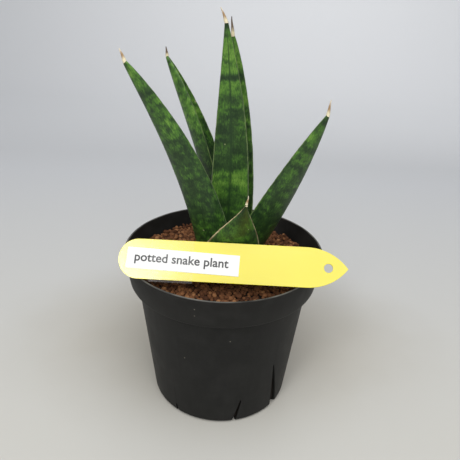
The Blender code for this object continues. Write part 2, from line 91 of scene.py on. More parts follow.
class Finish:
    """A Principled material while it is built, with the few nodes that the finishes share."""

    def __init__(self, name: str) -> None:
        """Start a material.

        Args:
            name: The material's name.
        """
        self.material = bpy.data.materials.new(name)
        self.material.use_nodes = True
        self.tree = self.material.node_tree

    def put(self, socket: Socket, value: Socket | str | float | tuple) -> None:
        """Set or link an input.

        Args:
            socket: The input.
            value: An output to link, an sRGB hex colour, or a plain value.
        """
        if isinstance(value, Socket):
            self.tree.links.new(value, socket)
        else:
            socket.default_value = linear(value) if isinstance(value, str) else value

    def add(self, kind: str, inputs: dict = None, **settings) -> Node:
        """Add a node.

        Args:
            kind: The node's type, without its ShaderNode prefix.
            inputs: What goes into its inputs, by name or number.
            **settings: The node's own properties.

        Returns:
            The node.
        """
        made = self.tree.nodes.new("ShaderNode" + kind)
        for name, value in settings.items():
            setattr(made, name, value)
        for name, value in (inputs or {}).items():
            self.put(made.inputs[name], value)
        return made

    def place(self) -> Socket:
        """Where the shaded point is on the object, in metres."""
        return self.add("TexCoord").outputs["Object"]

    def attribute(self, name: str) -> Socket:
        """A mesh attribute's value, by its name."""
        return self.add("Attribute", attribute_name=name).outputs["Fac"]

    def scaled(self, vector: Socket, *scale: float) -> Socket:
        """Coordinates scaled by a factor along each axis."""
        return self.add("Mapping", {"Vector": vector, "Scale": scale}).outputs["Vector"]

    def plus(self, first: Socket, second: Socket | float) -> Socket:
        """One value added to another."""
        return self.add("Math", {0: first, 1: second}, operation="ADD").outputs[0]

    def times(self, first: Socket, second: Socket | float) -> Socket:
        """One value multiplied by another."""
        return self.add("Math", {0: first, 1: second}, operation="MULTIPLY").outputs[0]

    def swing(self, pattern: Socket, reach: float) -> Socket:
        """A pattern of 0 to 1, turned into one that swings about zero over a reach."""
        return self.times(self.plus(pattern, -0.5), reach)

    def grain(self, vector: Socket, size_mm: float, detail: float = 2.0, roughness: float = 0.5) -> Socket:
        """A noise pattern, 0 to 1.

        Args:
            vector: The coordinates, in metres.
            size_mm: How large one feature is.
            detail: Octaves.
            roughness: How strong the finer octaves are.

        Returns:
            The pattern.
        """
        return self.add("TexNoise", {"Vector": vector, "Scale": 1.0 / (size_mm * MM), "Detail": detail,
                                     "Roughness": roughness}).outputs["Fac"]

    def ramp(self, value: Socket, *stops: tuple) -> Socket:
        """A colour or grey level read off a ramp.

        Args:
            value: Where on the ramp.
            *stops: (position, hex colour or grey level), low to high.

        Returns:
            The ramp's colour.
        """
        made = self.add("ValToRGB", {"Fac": value})
        ramp = made.color_ramp
        while len(ramp.elements) < len(stops):
            ramp.elements.new(1.0)
        for element, (position, level) in zip(ramp.elements, stops):
            element.position = position
            element.color = linear(level) if isinstance(level, str) else (level, level, level, 1.0)
        return made.outputs["Color"]

    def span(self, value: Socket, low: float, high: float, to_low: float = 0.0, to_high: float = 1.0,
             kind: str = "LINEAR") -> Socket:
        """A value carried from one range to another, and held at its ends.

        Args:
            value: The value.
            low: The first range's low end.
            high: The first range's high end.
            to_low: What the low end becomes.
            to_high: What the high end becomes.
            kind: The interpolation.

        Returns:
            The new value.
        """
        return self.add("MapRange", {"Value": value, "From Min": low, "From Max": high, "To Min": to_low,
                                     "To Max": to_high}, interpolation_type=kind).outputs["Result"]

    def mix(self, share: Socket | float, first: Socket | str, second: Socket | str, blend: str = "MIX") -> Socket:
        """Two colours mixed.

        Args:
            share: How much of the second.
            first: The first colour.
            second: The second colour.
            blend: The blend type.

        Returns:
            The mixed colour.
        """
        return self.add("Mix", {0: share, 6: first, 7: second}, data_type="RGBA", blend_type=blend).outputs[2]

    def specks(self, vector: Socket, gap_mm: float, *stops: tuple) -> Socket:
        """Lone small specks.

        Args:
            vector: The coordinates, in metres.
            gap_mm: How far apart they are.
            *stops: (distance from a speck's centre in gaps, cover), near to far.

        Returns:
            How much a speck covers.
        """
        cells = self.add("TexVoronoi", {"Vector": vector, "Scale": 1.0 / (gap_mm * MM)})
        return self.ramp(cells.outputs["Distance"], *stops)

    def done(self, inputs: dict, height: Socket = None, depth_mm: float = 0.0,
             strength: float = 1.0) -> Material:
        """Fill in the shader and end the material.

        Args:
            inputs: What goes into the Principled shader, by input name.
            height: A relief's pattern, 0 to 1, if it has one.
            depth_mm: The relief's real depth.
            strength: How strongly the relief shows.

        Returns:
            The material.
        """
        shader = self.tree.nodes["Principled BSDF"]
        for name, value in inputs.items():
            self.put(shader.inputs[name], value)
        if height:
            bump = self.add("Bump", {"Height": height, "Distance": depth_mm * MM, "Strength": strength})
            self.put(shader.inputs["Normal"], bump.outputs["Normal"])
        return self.material


# --- Finishes ---

@dataclass(frozen=True)
class PotPlastic:
    """Injection-moulded black polypropylene: dark satin, soft broad shine, faint scuffs, and a painted grey highlight
    along the lip.
    """

    black: str = "191918"
    scuffed: str = "262625"
    dust: str = "3a332c"
    speck: str = "8c8478"
    lip_highlight: str = "7a7872"
    speck_gap_mm: float = 13.0
    orange_peel_mm: float = 0.9
    scuff_mm: float = 14.0
    dust_mm: float = 2.381
    lip_highlight_patch_mm: float = 16.67
    streak_mm: float = 3.846
    dusty_from: float = 0.070   # height in metres that the dust starts at
    lip_from: float = 0.1006    # height in metres that the painted lip highlight starts at
    ior: float = 1.49

    def make(self) -> Material:
        """Build the material."""
        finish = Finish("polypropylene_moulded_black")
        place = finish.place()
        height = finish.add("SeparateXYZ", {"Vector": place}).outputs["Z"]
        scuffs = finish.grain(place, self.scuff_mm, 6.0, 0.62)
        base = finish.mix(finish.ramp(scuffs, (0.45, 0.0), (0.72, 1.0)), self.black, self.scuffed)
        near_rim = finish.span(height, self.dusty_from, POT_HEIGHT * MM, 0.0, 0.12)
        base = finish.mix(finish.times(near_rim, finish.grain(place, self.dust_mm, 4.0, 0.7)), base, self.dust)
        base = finish.mix(finish.specks(place, self.speck_gap_mm, (0.022, 0.6), (0.034, 0.0)), base, self.speck)
        # Painted highlight: patches of light grey along the rounded lip stand in for the shine on it.
        highlight_patches = finish.ramp(finish.grain(place, self.lip_highlight_patch_mm, 4.0, 0.6), (0.38, 0.1), (0.62, 0.75))
        on_lip = finish.span(height, self.lip_from, self.lip_from + 0.0003)
        base = finish.mix(finish.times(on_lip, highlight_patches), base, self.lip_highlight)
        streaks = finish.grain(finish.scaled(place, 1.0, 1.0, 0.12), self.streak_mm, 3.0)
        rough = finish.span(finish.plus(scuffs, finish.times(streaks, 0.3)), 0.4, 0.9, 0.5, 0.66)
        return finish.done({"Base Color": base, "Roughness": rough, "IOR": self.ior, "Specular IOR Level": 0.2},
                           finish.grain(place, self.orange_peel_mm, 3.0), 0.02)


@dataclass(frozen=True)
class FiredClay:
    """Baked akadama clay granules: matt, dusty, reddish brown, each granule its own tone."""

    name: str = "akadama_fired_clay"
    tones: tuple = ("2e1a0f", "4c2e1c", "674229", "835838", "996d48")
    pore_mm: float = 0.5

    def make(self) -> Material:
        """Build the material. It reads each granule's own tone from the tint attribute."""
        finish = Finish(self.name)
        pores = finish.grain(finish.place(), self.pore_mm, 4.0, 0.65)
        value = finish.plus(finish.times(finish.attribute("tint"), 0.8), finish.times(pores, 0.35))
        stops = [(0.12 + 0.2 * index, tone) for index, tone in enumerate(self.tones)]
        return finish.done({"Base Color": finish.ramp(value, *stops), "Roughness": 0.92,
                            "Specular IOR Level": 0.25}, pores, 0.25)


@dataclass(frozen=True)
class SnakeLeaf:
    """A living snake plant leaf: waxy satin, dark green, cross-banded in paler green with ragged edges.

    pale gives where the paler bands are, and the painted shade that darkens most blades toward the foot: (share of
    the blade's length, -1 dark to 1 pale).
    """

    name: str
    pale: tuple
    dark: str = "1f3a1a"
    middle: str = "345424"
    light: str = "4e7c2b"
    bright: str = "7aa642"
    margin: str = "6c8149"
    margin_brown: str = "465a34"
    margin_width: float = 0.035   # share of half the blade's width
    spread: float = 0.55          # how far a pale patch spreads across, over how far along
    band_mm: float = 5.0
    ragged_mm: float = 9.0        # how far the bands' edges run out along the fibres
    streak_mm: float = 0.7
    blotch_mm: float = 1.923
    mottle_mm: float = 0.8696
    fibre_mm: float = 0.4545
    worn_mm: float = 6.25
    speck: str = "c9c39a"
    speck_gap_mm: float = 11.0
    ior: float = 1.45

    def make(self) -> Material:
        """Build the material. It reads the blade's own UV map, in metres, and its attributes."""
        finish = Finish(self.name)
        flat = finish.add("UVMap", uv_map="blade").outputs["UV"]
        ways = finish.add("SeparateXYZ", {"Vector": flat}).outputs
        edge = finish.attribute("edge")
        streaks = finish.grain(finish.scaled(flat, 1.0, 0.07, 1.0), self.streak_mm, 3.0, 0.6)
        blotches = finish.grain(finish.scaled(flat, 1.0, 0.7, 1.0), self.blotch_mm, 3.0, 0.6)
        mottle = finish.grain(finish.scaled(flat, 1.0, 0.6, 1.0), self.mottle_mm)
        fibres = finish.grain(finish.scaled(flat, 1.0, 0.04, 1.0), self.fibre_mm)
        ragged = finish.plus(ways["Y"], finish.swing(streaks, self.ragged_mm * MM))
        shifted = finish.add("CombineXYZ", {"X": finish.times(ways["X"], self.spread), "Y": ragged})
        level = finish.grain(shifted.outputs["Vector"], self.band_mm, 3.0, 0.55)
        # The along ramp carries the pale bands and, near the foot of most blades, painted shade.
        bands_and_foot_shade = finish.ramp(finish.attribute("along"), *[(share, 0.5 + 0.5 * value) for share, value in self.pale])
        for pattern, reach in ((bands_and_foot_shade, 0.5), (blotches, 0.35), (mottle, 0.28)):
            level = finish.plus(level, finish.swing(pattern, reach))
        green = finish.ramp(level, (0.32, self.dark), (0.48, self.middle), (0.62, self.light), (0.82, self.bright))
        green = finish.mix(0.45, green, finish.ramp(fibres, (0.3, 0.35), (0.7, 1.0)), "MULTIPLY")
        # Painted shade: the middle of the channel side is darkened along the fold's crease.
        groove_shade = finish.times(finish.attribute("channel"), finish.ramp(edge, (0.0, 0.9), (0.06, 0.5), (0.14, 0.0)))
        green = finish.mix(groove_shade, green, self.dark)
        green = finish.mix(finish.specks(flat, self.speck_gap_mm, (0.030, 0.7), (0.045, 0.0)), green, self.speck)
        rim = finish.ramp(finish.plus(edge, finish.swing(blotches, 0.05)),
                          (1.0 - 1.6 * self.margin_width, 0.0), (1.0 - 0.7 * self.margin_width, 1.0))
        worn = finish.ramp(finish.grain(finish.scaled(flat, 0.2, 1.0, 1.0), self.worn_mm, 4.0),
                           (0.42, self.margin), (0.60, self.margin_brown))
        return finish.done({"Base Color": finish.mix(rim, green, worn), "IOR": self.ior,
                            "Roughness": finish.span(blotches, 0.3, 0.7, 0.36, 0.52)},
                           finish.plus(streaks, finish.times(fibres, 0.5)), 0.12, 0.6)


@dataclass(frozen=True)
class DrySpine:
    """The dried, woody spine at a blade's end: cream where it leaves the green, brown and grey at its point."""

    name: str = "dried_leaf_spine_pale"
    root: str = "f2e6c4"
    body: str = "a98963"
    point: str = "e2d6c0"
    fibre_mm: float = 0.4167

    def make(self) -> Material:
        """Build the material. It reads how far up the spine it is from the along attribute."""
        finish = Finish(self.name)
        fibres = finish.grain(finish.scaled(finish.place(), 1.0, 1.0, 0.15), self.fibre_mm, 3.0)
        value = finish.plus(finish.attribute("along"), finish.swing(fibres, 0.3))
        colour = finish.ramp(value, (0.2, self.root), (0.45, self.body), (0.6, self.body), (0.9, self.point))
        return finish.done({"Base Color": colour, "Roughness": 0.75}, fibres, 0.1)


@dataclass(frozen=True)
class LabelPlastic:
    """Die-cut yellow polystyrene sheet: even, clean and glossy, with a very slight ripple in its shine."""

    yellow: str = "e5d72e"
    deeper: str = "e0d22a"
    cloud_mm: float = 22.22
    haze_mm: float = 1.111
    ripple_mm: float = 6.25
    ior: float = 1.58

    def make(self) -> Material:
        """Build the material."""
        finish = Finish("polystyrene_sheet_yellow")
        place = finish.place()
        colour = finish.mix(finish.grain(place, self.cloud_mm, 3.0), self.yellow, self.deeper)
        haze = finish.span(finish.grain(place, self.haze_mm, 3.0), 0.0, 1.0, 0.14, 0.22)
        return finish.done({"Base Color": colour, "Roughness": haze, "IOR": self.ior},
                           finish.grain(place, self.ripple_mm), 0.03)


@dataclass(frozen=True)
class PlainFinish:
    """A finish whose one noise pattern carries its tones and its relief."""

    name: str
    tones: tuple                          # (position on the pattern, hex colour)
    grain_mm: float
    relief_mm: float
    shader: dict                          # the shader's other inputs
    detail: float = 4.0
    finer: float = 0.6                    # how strong the pattern's finer octaves are
    stretch: tuple = (1.0, 1.0, 1.0)

    def make(self) -> Material:
        """Build the material."""
        finish = Finish(self.name)
        place = finish.scaled(finish.place(), *self.stretch)
        pattern = finish.grain(place, self.grain_mm, self.detail, self.finer)
        return finish.done({"Base Color": finish.ramp(pattern, *self.tones), **self.shader},
                           pattern if self.relief_mm else None, self.relief_mm)


# The skin of the rhizome and roots: pale tan, papery and wrinkled.
RHIZOME_RIND = PlainFinish("rhizome_rind", ((0.3, "8a6238"), (0.7, "c8a878")), 2.632, 0.4,
                           {"Roughness": 0.8}, stretch=(1.0, 1.0, 3.0))
# Coated white label paper: matt white with a faint fibre.
LABEL_PAPER = PlainFinish("coated_label_paper", ((0.0, "f6f6f4"), (1.0, "e9e9e6")), 0.4, 0.02,
                          {"Roughness": 0.5}, finer=0.7)
# Thermal print on the paper: a soft dark grey with slightly uneven cover.
PRINTED_INK = PlainFinish("thermal_print_grey", ((0.0, "39373b"), (1.0, "4b494d")), 0.5556, 0.0,
                          {"Roughness": 0.6}, 3.0, 0.5)
# Clear polypropylene tape: nearly invisible, with a wet-looking shine and faint ripples.
CLEAR_TAPE = PlainFinish("polypropylene_tape_clear", ((0.0, "f4f4ee"), (1.0, "ffffff")), 4.545, 0.06,
                         {"Roughness": 0.1, "Alpha": 0.03}, 2.0, 0.5, (1.0, 0.4, 0.4))


@dataclass(frozen=True)
class StudioPaint:
    """The pale painted studio floor: matt, a shade cooler to the back, with a faint ring round the pot that is part
    dust and part painted shadow.
    """

    pale: str = "cbc9c2"
    cool: str = "d0d1d3"
    shadow_and_dust: str = "aaa291"
    drift_mm: float = 333.3
    shadow_and_dust_ring_mm: float = 35.71

    def make(self) -> Material:
        """Build the material."""
        finish = Finish("studio_floor_paint")
        place = finish.place()
        back = finish.span(finish.add("SeparateXYZ", {"Vector": place}).outputs["Y"], -0.05, 0.4)
        drift = finish.plus(finish.times(finish.grain(place, self.drift_mm), 0.1), back)
        paint = finish.mix(drift, self.pale, self.cool)
        # Painted shadow with some dust: a darker ring round the pot, centred a little behind it, so it is strongest
        # at the pot's sides and back.
        away = finish.add("VectorMath", {0: place, 1: (1.0, 1.6, 1.0), 2: (0.0, -0.08, 0.0)},
                          operation="MULTIPLY_ADD").outputs["Vector"]
        far = finish.add("VectorMath", {0: away}, operation="LENGTH").outputs["Value"]
        uneven = finish.plus(far, finish.times(finish.grain(place, self.shadow_and_dust_ring_mm, 3.0), 0.03))
        ring = finish.span(uneven, 0.06, 0.21, 0.62, 0.0, "SMOOTHSTEP")
        return finish.done({"Base Color": finish.mix(ring, paint, self.shadow_and_dust), "Roughness": 0.7})


# --- Mesh helpers ---

def finish_mesh(shape: BMesh, name: str, materials: list, smooth_angle: float) -> Object:
    """Close a bmesh made in millimetres, and make it an object in metres.

    Args:
        shape: The bmesh, which is freed.
        name: The piece's name.
        materials: Its materials, in slot order.
        smooth_angle: Edges sharper than this, in degrees, stay sharp.

    Returns:
        The object, linked to the scene.
    """
    bmesh.ops.remove_doubles(shape, verts=shape.verts, dist=0.002)
    bmesh.ops.recalc_face_normals(shape, faces=shape.faces)
    bmesh.ops.scale(shape, vec=(MM, MM, MM), verts=shape.verts)
    data = bpy.data.meshes.new(name)
    shape.to_mesh(data)
    shape.free()
    for material in materials:
        data.materials.append(material)
    data.shade_smooth()
    data.set_sharp_from_angle(angle=radians(smooth_angle))
    item = bpy.data.objects.new(name, data)
    bpy.context.scene.collection.objects.link(item)
    return item


def new_verts(made: dict) -> list:
    """The vertices among what a bmesh operator made."""
    return [part for part in made["geom"] if isinstance(part, BMVert)]


def thicken(shape: BMesh, rise: float) -> None:
    """Grow a flat shape into a slab.

    Args:
        shape: The bmesh, all of whose faces lie in a plane.
        rise: How far along Z its other side is.
    """
    grown = bmesh.ops.extrude_face_region(shape, geom=list(shape.faces))
    bmesh.ops.translate(shape, vec=(0.0, 0.0, rise), verts=new_verts(grown))


def attach(item: Object, slot: Slot, *nodes: str) -> None:
    """Let a finished piece ride on the plant's body, in place of CAD nodes.

    Args:
        item: The piece.
        slot: The record's slot that its finish comes from. Not used.
        *nodes: The CAD nodes that it stands for.
    """
    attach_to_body(item, ROOT_BODY)
    if nodes:
        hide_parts(*nodes)
    LOG.info("%s: %d faces", item.name, len(item.data.polygons))


# --- Pot ---

@dataclass(frozen=True)
class Slit:
    """A root slit up the pot's wall."""

    azimuth: float       # degrees round from +X
    foot_width: float
    height: float
    lean: float          # degrees


@dataclass
class NurseryPot:
    """The thin moulded pot: tapered wall, deeper collar, rounded lip and root slits."""

    rim_radius: float = 60.0
    collar_foot_radius: float = 56.8
    shoulder_radius: float = 52.4
    base_radius: float = 43.4
    wall: float = 1.3
    base_thickness: float = 1.6
    base_fillet: float = 3.5
    lip: float = 0.6
    slit_top_width: float = 0.8
    slit_reach: float = 10.0
    steps: int = 144
    smooth_angle: float = 32.0
    slits: tuple = (Slit(-126.0, 2.6, 7.0, 3.0), Slit(-77.5, 3.0, 19.5, -11.0), Slit(-37.0, 6.4, 41.0, 12.0),
                    Slit(5.0, 2.6, 34.0, 2.0), Slit(50.0, 3.0, 36.0, -2.0), Slit(96.0, 2.4, 32.0, 3.0),
                    Slit(140.0, 3.2, 36.0, -3.0), Slit(186.0, 2.8, 34.0, 2.0))

    def wall_radius(self, height: float) -> float:
        """Outer radius of the wall at a height below the collar."""
        share = height / (POT_HEIGHT - COLLAR_HEIGHT)
        return self.base_radius + (self.shoulder_radius - self.base_radius) * share

    def collar_radius(self, height: float) -> float:
        """Outer radius of the collar at a height."""
        share = (height - POT_HEIGHT + COLLAR_HEIGHT) / COLLAR_HEIGHT
        return self.collar_foot_radius + (self.rim_radius - self.collar_foot_radius) * share

    def corner(self, inset: float) -> list:
        """The rounded corner between wall and base.

        Args:
            inset: How far in from the outside.

        Returns:
            (radius, height) points, the wall's end first.
        """
        slope = (self.shoulder_radius - self.base_radius) / (POT_HEIGHT - COLLAR_HEIGHT)
        centre = self.wall_radius(self.base_fillet) - self.base_fillet * hypot(1.0, slope)
        wall_angle = -atan(slope)
        reach = self.base_fillet - inset
        turns = [wall_angle + (-pi / 2 - wall_angle) * step / 8 for step in range(9)]
        return [(centre + reach * cos(turn), self.base_fillet + reach * sin(turn)) for turn in turns]

    def section(self) -> list:
        """The pot's section, up the inside and down the outside.

        Returns:
            (radius, height) points from axis to axis.
        """
        foot = POT_HEIGHT - COLLAR_HEIGHT
        inner = [(radius, height + self.base_thickness - self.wall) for radius, height in self.corner(self.wall)]
        lip = [(self.rim_radius - self.wall / 2 + self.wall / 2 * cos(turn),
                POT_HEIGHT - self.lip + self.lip * sin(turn))
               for turn in [pi * (1.0 - step / 8) for step in range(9)]]
        return [(0.0, self.base_thickness), *inner[::-1],
                (self.wall_radius(foot) - self.wall, foot + 0.2),
                (self.wall_radius(foot) - self.wall + 0.8, foot + 1.2),
                (self.collar_radius(foot + 2.6) - self.wall - 0.4, foot + 1.9),
                (self.collar_radius(foot + 2.6) - self.wall, foot + 2.8), *lip,
                (self.collar_radius(foot + 1.2), foot + 1.2),
                (self.collar_foot_radius - 0.15, foot + 0.4),
                (self.collar_foot_radius - 0.6, foot),
                (self.wall_radius(foot) + 0.9, foot - 0.2),
                (self.wall_radius(foot) + 0.2, foot - 0.9),
                (self.wall_radius(foot - 2.6), foot - 2.6), *self.corner(0.0), (0.0, 0.0)]

    def cutter(self) -> Object:
        """One wedge for each slit, narrow at its top."""
        shape = bmesh.new()
        for slit in self.slits:
            wedge = bmesh.ops.create_cube(shape, size=1.0)["verts"]
            for corner in wedge:
                at_top = corner.co.z > 0.0
                corner.co.x = self.rim_radius if corner.co.x > 0.0 else (
                    self.base_radius - self.base_fillet - self.slit_reach)
                corner.co.y *= self.slit_top_width if at_top else slit.foot_width
                corner.co.z = slit.height if at_top else -self.base_fillet
            tilt = Matrix.Rotation(radians(slit.lean), 4, "X")
            turn = Matrix.Rotation(radians(slit.azimuth), 4, "Z")
            bmesh.ops.transform(shape, matrix=turn @ tilt, verts=wedge)
        return finish_mesh(shape, "slit_cutter", [], self.smooth_angle)

    def build(self) -> None:
        """Turn the pot, cut its slits and dress it."""
        shape = bmesh.new()
        points = [shape.verts.new((radius, 0.0, height)) for radius, height in self.section()]
        edges = [shape.edges.new(pair) for pair in zip(points, points[1:])]
        bmesh.ops.spin(shape, geom=points + edges, axis=(0, 0, 1), cent=(0, 0, 0), angle=2.0 * pi,
                       steps=self.steps, use_merge=True)
        pot = finish_mesh(shape, "nursery_pot", [PotPlastic().make()], self.smooth_angle)
        cutter = self.cutter()
        slits = pot.modifiers.new("slits", "BOOLEAN")
        slits.operation = "DIFFERENCE"
        slits.solver = "EXACT"
        slits.object = cutter
        cut = bpy.data.meshes.new_from_object(pot.evaluated_get(bpy.context.evaluated_depsgraph_get()))
        pot.modifiers.clear()
        pot.data = cut
        pot.data.set_sharp_from_angle(angle=radians(self.smooth_angle))
        bpy.data.objects.remove(cutter)
        attach(pot, Slot.POT, "pot")


# --- Leaves ---

@dataclass
class Blade:
    """One leaf: where it stands and ends, how it arches, its sections and its pattern."""

    name: str
    node: str                 # the CAD node that it stands for
    foot: tuple
    tip: tuple
    arch: tuple               # how far its middle bows out
    face: float               # azimuth that its channel faces at the foot
    twist: float              # how far the face turns on the way up
    fold: float               # how far round its section curls, in degrees
    half_width: float
    shoulder: float
    taper: float
    thickness: float
    spine: tuple
    pale: tuple
    seed: float
    opening: float = 0.5      # how much flatter the tip is than the foot
    margin_width: float = 0.026
    spread: float = 0.55
    band_mm: float = 5.0
    dark_spine: bool = False
    dry_margin: bool = False
    tip_half_width: float = 0.9
    around: int = 56
    rings: int = 110
    waver: float = 0.16       # how far the margins wander in and out
    set_back: float = 0.45    # share of its curl's depth that the middle is set back by
    edge_share: float = 0.3   # part of the section over which the margin rounds
    edge_thickness: float = 0.22
    tip_thickness: float = 0.3
    rib_height: float = 0.05
    ribs_per_mm: float = 4.2
    foot_narrowing: float = 0.18
    spine_sunk: float = 0.8       # how far the spine's root lies inside the blade's end
    spine_reach: float = 0.985    # share of the spine's length that its last ring lies at
    spine_wave: float = 0.25      # how far it wavers sideways
    pattern_step: float = 0.01    # metres that two leaves' patterns lie apart, per seed
    spine_rings: tuple = (1.2, 1.15, 1.0, 0.82, 0.66, 0.52, 0.40, 0.26)   # radii, root to point

    def frame(self, t: float) -> tuple:
        """A section's place at t, 0 at the foot and 1 at the tip.

        Args:
            t: Share of the blade's length.

        Returns:
            Its middle, and its across and inward directions.
        """
        foot = Vector((*self.foot, FOOT_LEVEL))
        tip = Vector(self.tip)
        arch = Vector((*self.arch, 0.0))
        middle = foot.lerp(tip, t) + arch * (4.0 * t * (1.0 - t))
        along = (tip - foot + arch * (4.0 * (1.0 - 2.0 * t))).normalized()
        azimuth = radians(self.face + self.twist * t)
        inward = Vector((cos(azimuth), sin(azimuth), 0.0))
        inward = (inward - along * inward.dot(along)).normalized()
        return middle, along.cross(inward), inward

    def half(self, t: float) -> float:
        """Half the flattened blade's width at t."""
        narrowing = 1.0 - self.foot_narrowing * (1.0 - t) ** 5
        swell = (1.0 - t ** self.shoulder) ** self.taper * narrowing
        return self.tip_half_width + (self.half_width - self.tip_half_width) * swell

    def point(self, turn: float, t: float) -> tuple:
        """A point of the blade's skin.

        Args:
            turn: Angle round the section: 0 is one margin, pi the other, the channel between them.
            t: Share of the blade's length.

        Returns:
            The point, and how far across the blade it is, -1 to 1.
        """
        middle, across, inward = self.frame(t)
        half = self.half(t)
        half_fold = radians(self.fold) / 2.0 * (1.0 - self.opening * t)
        radius = half / half_fold
        sink = self.set_back * radius * (1.0 - cos(half_fold))
        share = -cos(turn)
        rise_share = abs(sin(turn))
        rounded = sqrt(max(0.0, 1.0 - (1.0 - min(rise_share / self.edge_share, 1.0)) ** 2))
        tip_share = self.tip_thickness + (1.0 - self.tip_thickness) * (1.0 - t) ** 0.7
        profile = self.edge_thickness * rounded + (1.0 - self.edge_thickness) * rise_share
        thickness = min(self.thickness * tip_share * profile, 1.2 * half, 1.5 * radius)
        offset = copysign(thickness / 2.0, sin(turn)) if rise_share > 1e-6 else 0.0
        wander = noise.noise(Vector((self.seed, share * 0.4, t * 46.0))) * self.waver * min(1.0, 6.0 * (1.0 - t))
        angle = share * half_fold * (1.0 + wander * abs(share) ** 6 / half)
        drift = 3.0 * noise.noise(Vector((self.seed, share * 2.0, t * 9.0)))
        ribs = self.rib_height * sin(share * half * self.ribs_per_mm + drift)
        offset += copysign(ribs, offset) * rise_share * min(1.0, 3.0 * (1.0 - t))
        sideways = sin(angle) * (radius - offset)
        rise = radius * (1.0 - cos(angle)) - sink + cos(angle) * offset
        return middle + across * sideways + inward * rise, share

    def add_blade(self, shape: BMesh) -> None:
        """Wrap a grid round the blade: its skin, with its UV map and attributes.

        Args:
            shape: The bmesh that it is made in.
        """
        flat = shape.loops.layers.uv.new("blade")
        layers = {name: shape.verts.layers.float.new(name) for name in ("edge", "along", "channel")}
        length = (Vector(self.tip) - Vector((*self.foot, FOOT_LEVEL))).length
        bmesh.ops.create_grid(shape, x_segments=self.around, y_segments=self.rings, size=0.5)
        places, start = {}, self.seed * self.pattern_step
        for vert in shape.verts:
            turn, t = (vert.co.x + 0.5) * 2.0 * pi, min(max(vert.co.y + 0.5, 0.0), 1.0)
            vert.co, share = self.point(turn, t)
            if t < 1e-6:
                vert.co.z = FOOT_LEVEL
            places[vert] = (share * self.half(t) * MM + start, t * length * MM + start)
            vert[layers["edge"]] = abs(share)
            vert[layers["along"]] = t
            vert[layers["channel"]] = 0.5 + 0.5 * max(-1.0, min(1.0, 4.0 * sin(turn)))
        for face in shape.faces:
            for loop in face.loops:
                loop[flat].uv = places[loop.vert]
        bmesh.ops.remove_doubles(shape, verts=shape.verts, dist=0.002)
        bmesh.ops.holes_fill(shape, edges=[edge for edge in shape.edges if edge.is_boundary], sides=0)

    def add_spine(self, shape: BMesh) -> None:
        """Draw the dry spine out of the blade's end, ring by ring, to a blunt point.

        Args:
            shape: The blade's bmesh.
        """
        along_layer = shape.verts.layers.float["along"]
        tip, across, inward = self.frame(1.0)
        reach = Vector(self.spine)
        before = (tip - self.frame(0.97)[0]).normalized()
        turn = Matrix((across, inward, across.cross(inward))).transposed()
        ring = bmesh.ops.create_circle(shape, segments=12, radius=1.0)["verts"]
        for vert in ring:
            vert.co = tip + turn @ vert.co
        last, edges = tip, []
        for step, share in enumerate(self.spine_rings):
            s = step / (len(self.spine_rings) - 1)
            if edges:
                ring = new_verts(bmesh.ops.extrude_edge_only(shape, edges=edges))
            middle = tip - before * self.spine_sunk * (1.0 - s) + reach * s * self.spine_reach
            middle += across * self.spine_wave * sin(5.0 * s + self.seed) * s
            for vert in ring:
                vert.co = middle + (vert.co - last).normalized() * (self.tip_half_width * share)
                vert[along_layer] = s
            last = middle
            edges = list(dict.fromkeys(edge for vert in ring for edge in vert.link_edges
                                       if edge.other_vert(vert) in ring))
        bmesh.ops.holes_fill(shape, edges=[edge for edge in shape.edges if edge.is_boundary], sides=0)

    def build(self, spine_materials: dict) -> None:
        """Build the leaf and dress it.

        Args:
            spine_materials: The dry spine's materials, by whether it is a dark one.
        """
        shape = bmesh.new()
        self.add_blade(shape)
        green = len(shape.faces)
        self.add_spine(shape)
        shape.faces.ensure_lookup_table()
        for face in shape.faces[green:]:
            face.material_index = 1
        dried = {"margin": "c4b48c", "margin_brown": "7d6446"} if self.dry_margin else {}
        leaf_material = SnakeLeaf(self.name + "_green", self.pale, margin_width=self.margin_width,
                                  spread=self.spread, band_mm=self.band_mm, **dried).make()
        leaf = finish_mesh(shape, self.name, [leaf_material, spine_materials[self.dark_spine]], 60.0)
        attach(leaf, Slot.LEAF, self.node)


